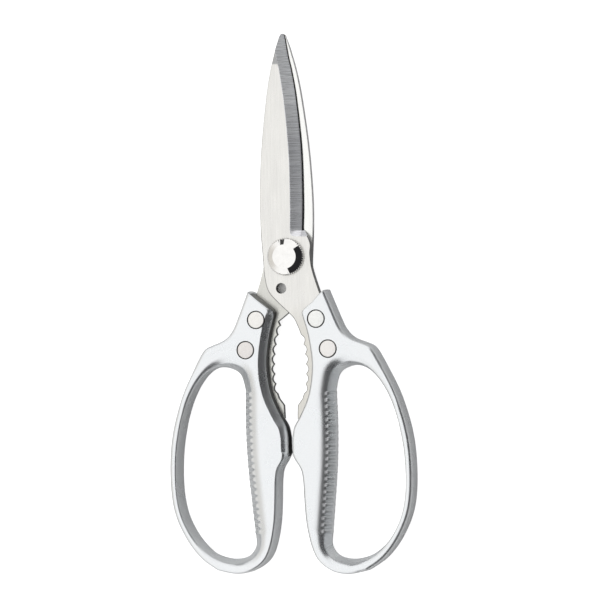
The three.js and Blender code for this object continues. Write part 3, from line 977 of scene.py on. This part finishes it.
def ground_steel():
    """The wide bevel: wheel marks that run across it, from the grind line to the edge. It is darker
    towards the heel, a painted shade, and its ramp is brighter, a painted highlight."""
    s = Shader("blade_bevel", (0.93, 0.945, 0.96), 0.28)
    marks = s.grain((7, 0.16, 7), roughness=0.6)
    bands = s.grain((12, 1.6, 12), detail=2)
    towards_tip = s.along_y(42, 64)
    fine = s.tinted(s.spread(marks, 0, 1, 0.35, 0.65), 0.86, 1.1)
    broad = s.blend(s.spread(bands), (0.88, 0.88, 0.89))
    # painted shade: darker towards the heel
    shade_towards_heel = s.blend(towards_tip, (0.78, 0.78, 0.79))
    # painted highlight: brighter on the ramp below the heel
    highlight_below_heel = s.blend(s.along_y(HEEL - 0.3, HEEL), (1.3, 1.28, 1.28))
    s.paint(fine, broad, shade_towards_heel, highlight_below_heel)
    s.polish(s.spread(marks, 0.22, 0.36))
    s.feed(s.spread(towards_tip, 0.55, 0.35, 0, 1), s.inputs["Metallic"])
    s.emboss((marks, 0.006))
    return s.material


def honed_steel():
    """The narrow bevel along the cutting edge, more finely ground than the wide one."""
    s = Shader("blade_edge", (0.66, 0.66, 0.66), 0.16)
    marks = s.grain((3, 0.1, 3), detail=2)
    s.paint(s.tinted(s.spread(marks), 0.9, 1.08))
    s.polish(s.spread(marks, 0.12, 0.22))
    s.emboss((marks, 0.003))
    return s.material


def cast_silver():
    """The handles: a blasted, satin-silver casting with a fine even speckle."""
    s = Shader("handle_satin", (0.865, 0.882, 0.893), 0.28, 0.85)
    speckle = s.grain((0.28, 0.28, 0.28), detail=2, roughness=0.6)
    pits = s.grain((0.7, 0.7, 0.7))
    cloud = s.grain((14, 14, 14), detail=2)
    fine = s.tinted(s.spread(speckle), 0.93, 1.04)
    broad = s.blend(s.spread(cloud), (0.965, 0.97, 0.975))
    s.paint(fine, broad)
    s.polish(s.spread(cloud, 0.25, 0.32))
    s.emboss((speckle, 0.012), (pits, 0.012))
    return s.material


def faced_rivet(name, colour):
    """Rivet heads: faced flat with the handle and lightly blasted, each a little different."""
    s = Shader(name, colour, 0.45)
    speckle = s.grain((0.22, 0.22, 0.22), detail=2)
    lines = s.grain((0.3, 3.5, 0.3), detail=2)
    s.paint(s.tinted(s.spread(speckle), 0.9, 1.06))
    s.polish(s.spread(lines, 0.38, 0.52))
    s.emboss((speckle, 0.006), (lines, 0.004))
    return s.material


def polished_steel():
    """The pivot: bright turned steel with faint handling marks."""
    s = Shader("pivot_polish", (0.86, 0.85, 0.83), 0.05)
    haze = s.grain((2.5, 2.5, 2.5), detail=4, roughness=0.6)
    marks = s.grain((0.12, 2.5, 0.12), detail=2)
    s.paint(s.tinted(s.spread(haze), 0.96, 1.04))
    s.polish(s.spread(haze, 0.035, 0.07))
    s.emboss((marks, 0.0012))
    return s.material


# Assembly -----

FRONT, BACK = "front_half", "back_half"
TURNED_OVER = Matrix.Translation((0, 0, 2 * MID * MM)) @ Matrix.Rotation(math.pi, 4, "Y")
SHARP = 32  # an edge that turns by more degrees than this stays sharp
CASTING_SHARP = 60  # the same, on the castings
FLAT_FACE_WEIGHT = 60  # how much the large faces decide the shading of the small ones


def finish(shape, node, body, turn_over=False, sharp=SHARP):
    """A copy of a shape as the finished piece that stands for a CAD node."""
    data = shape.data.copy()
    data.transform(Matrix.Scale(MM, 4))
    if turn_over:
        data.transform(TURNED_OVER)
    data.shade_smooth()
    data.set_sharp_from_angle(angle=math.radians(sharp))
    piece = bpy.data.objects.new(f"{node}_finished", data)
    bpy.context.scene.collection.objects.link(piece)
    normals = piece.modifiers.new("even_normals", "WEIGHTED_NORMAL")
    normals.keep_sharp = True
    normals.weight = FLAT_FACE_WEIGHT
    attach(piece, body)
    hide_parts(node)


def build_blade(side, node, body, turn_over, steels, rivets):
    """One blade and the rivets that hold it in its handle. The blade that is turned over is keyed."""
    shape = blade(turn_over, steels)
    finish(shape, node, body, turn_over)
    bpy.data.objects.remove(shape)
    for place in ("upper", "lower"):
        material = rivets[(side, place)]
        for kind, make in (("sleeve", rivet_sleeve), ("pin", rivet_pin)):
            shape = make(f"right_{place}_rivet_{kind}", material)
            finish(shape, f"{side}_{place}_rivet_{kind}", body, turn_over)
            bpy.data.objects.remove(shape)


def build_shears():
    """Every piece, each on its body."""
    steels = {
        "face": brushed_steel(),
        "inner": lapped_steel(),
        "wall": sawn_steel("blade_wall", (0.85, 0.85, 0.84), 0.4, 0.45, tang_shade=0.3),
        # near-black painted shade for the locating hole's wall
        "hole_shade": sawn_steel("blade_hole_painted_dark", (0.03, 0.03, 0.03), 0.5),
        "dimple": sawn_steel("blade_dimple", (0.95, 0.95, 0.93), 0.45, 0.5),
        "bevel": ground_steel(),
        "micro": honed_steel(),
    }
    rivets = {
        ("left", "upper"): faced_rivet("rivet_warm", (0.90, 0.885, 0.855)),
        ("left", "lower"): faced_rivet("rivet_rose", (0.82, 0.79, 0.765)),
        ("right", "upper"): faced_rivet("rivet_pale", (0.91, 0.915, 0.895)),
        ("right", "lower"): faced_rivet("rivet_grey", (0.87, 0.85, 0.83)),
    }
    build_blade("right", "front_blade", FRONT, False, steels, rivets)
    build_blade("left", "back_blade", BACK, True, steels, rivets)
    # painted shade: near-black on the handle's jaw wall, tang slot and rivet bores
    shade_paint = sawn_steel("handle_painted_shade", (0.17, 0.17, 0.17), 0.6)
    # a darker grey for the back of the short top edge beside the blade
    darker_top_edge = sawn_steel("handle_top_edge_dark", (0.45, 0.45, 0.44), 0.6)
    casting = handle(cast_silver(), shade_paint, darker_top_edge)
    finish(casting, "right_handle", FRONT, sharp=CASTING_SHARP)
    finish(casting, "left_handle", BACK, turn_over=True, sharp=CASTING_SHARP)
    bpy.data.objects.remove(casting)
    polish = polished_steel()
    for node, shape in (
        ("pivot_bolt", pivot_bolt(polish)),
        ("pivot_front_washer", washer("pivot_front_washer", polish)),
        ("pivot_back_washer", washer("pivot_back_washer", polish)),
        ("pivot_nut", pivot_nut(polish)),
    ):
        finish(shape, node, BACK)
        bpy.data.objects.remove(shape)


# Stage -----

CAMERA_YAW = math.radians(14.618)
CAMERA_PITCH = math.radians(-0.10)
CAMERA_ROLL = math.radians(1.34)
CAMERA_DISTANCE = 1.1706
CAMERA_LENS = 175.46
CAMERA_SENSOR = 36
CAMERA_CLIP = (0.05, 50)
CAMERA_TARGET = Vector((0.004521, -0.017449, 0.006))
FLOOR_SIZE = 6  # metres from its middle to its side
FLOOR_DROP = 0.0002  # metres below the part, which keeps the two apart
FLOOR_GLOW = (0.02, 0.85)  # towards the metal and towards the camera
STUDIO_LIGHT = 1.12


def add_camera():
    """A long lens above the shears, turned a little to their right."""
    back = Vector((
        math.sin(CAMERA_YAW) * math.cos(CAMERA_PITCH),
        -math.sin(CAMERA_PITCH),
        math.cos(CAMERA_YAW) * math.cos(CAMERA_PITCH),
    ))
    right = Vector((0, 1, 0)).cross(back).normalized()
    up = back.cross(right)
    image_right = right * math.cos(CAMERA_ROLL) - up * math.sin(CAMERA_ROLL)
    image_up = right * math.sin(CAMERA_ROLL) + up * math.cos(CAMERA_ROLL)
    data = bpy.data.cameras.new("camera")
    data.lens = CAMERA_LENS
    data.sensor_width = CAMERA_SENSOR
    data.clip_start, data.clip_end = CAMERA_CLIP
    camera = bpy.data.objects.new("camera", data)
    turn = Matrix((image_right, image_up, back)).transposed().to_4x4()
    camera.matrix_world = Matrix.Translation(CAMERA_TARGET + back * CAMERA_DISTANCE) @ turn
    bpy.context.scene.collection.objects.link(camera)
    bpy.context.scene.camera = camera


def floor_white():
    """A matt pale grey. It glows more towards the camera than towards the metal, so that it stays
    white there, while the metal mirrors its real light and shadow."""
    s = Shader("floor_white", (0.72, 0.72, 0.72), 0.9, metallic=0.0)
    s.feed(0.1, s.inputs["Specular IOR Level"])
    s.feed(WHITE, s.inputs["Emission Color"])
    s.feed(s.spread(s.seen(), *FLOOR_GLOW, 0, 1), s.inputs["Emission Strength"])
    return s.material


def add_floor():
    """A plain floor under the shears."""
    mesh = bmesh.new()
    bmesh.ops.create_grid(mesh, x_segments=2, y_segments=2, size=FLOOR_SIZE)
    data = bpy.data.meshes.new("floor")
    mesh.to_mesh(data)
    mesh.free()
    data.materials.append(floor_white())
    floor = bpy.data.objects.new("floor", data)
    floor.location = (0, 0, -FLOOR_DROP)
    bpy.context.scene.collection.objects.link(floor)


class Sky(Nodes):
    """The studio round the shears, as a world shader built from directions in degrees."""

    def __init__(self):
        world = bpy.data.worlds.new("studio")
        bpy.context.scene.world = world
        world.use_nodes = True
        super().__init__(world.node_tree)
        x, y, z = self.parts(self.node("ShaderNodeTexCoord").outputs["Generated"])
        self.azimuth = self.maths("DEGREES", self.maths("ARCTAN2", y, x))
        self.elevation = self.maths("DEGREES", self.maths("ARCSINE", z))

    def rise(self, value, start, end):
        """0 before the start and 1 after the end, with a soft step between them."""
        return self.spread(value, 0, 1, start, end, "SMOOTHSTEP")

    def fall(self, value, start, end):
        """1 before the start and 0 after the end."""
        return self.maths("SUBTRACT", 1, self.rise(value, start, end))

    def patch(self, first, last, softness, elevations):
        """1 between two azimuths and below an elevation, which fades out over a pair of values."""
        after = self.rise(self.azimuth, first - softness, first + softness)
        before = self.fall(self.azimuth, last - softness, last + softness)
        below = self.fall(self.elevation, *elevations)
        return self.maths("MULTIPLY", self.maths("MULTIPLY", after, before), below)


def add_studio():
    """A soft white studio with a dimmer low left side, a black flag at the right, and behind the
    blades a dark gap between two lights and a dark strip near the floor. The camera sees it white."""
    sky = Sky()
    from_right = sky.maths("ABSOLUTE", sky.azimuth)
    below = sky.fall(sky.elevation, 25, 65)
    low_left = sky.maths("MULTIPLY", sky.rise(from_right, 125, 165), below)
    flag = sky.patch(-91, 49, 2, (50, 74))
    gap = sky.patch(106, 122, 0.8, (25, 28))
    strip = sky.patch(52, 125, 4, (4, 10))
    colour = sky.blend(low_left, WHITE, (0.68, 0.66, 0.625))
    colour = sky.blend(flag, colour, (0.02, 0.02, 0.022))
    colour = sky.blend(gap, colour, (0.06, 0.06, 0.06))
    colour = sky.blend(strip, colour, (0.1, 0.1, 0.11))
    background = sky.tree.nodes["Background"].inputs
    sky.feed(sky.blend(sky.seen(), colour), background["Color"])
    sky.feed(STUDIO_LIGHT, background["Strength"])


build_shears()
add_floor()
add_studio()
add_camera()
bpy.context.scene.view_settings.view_transform = "Standard"
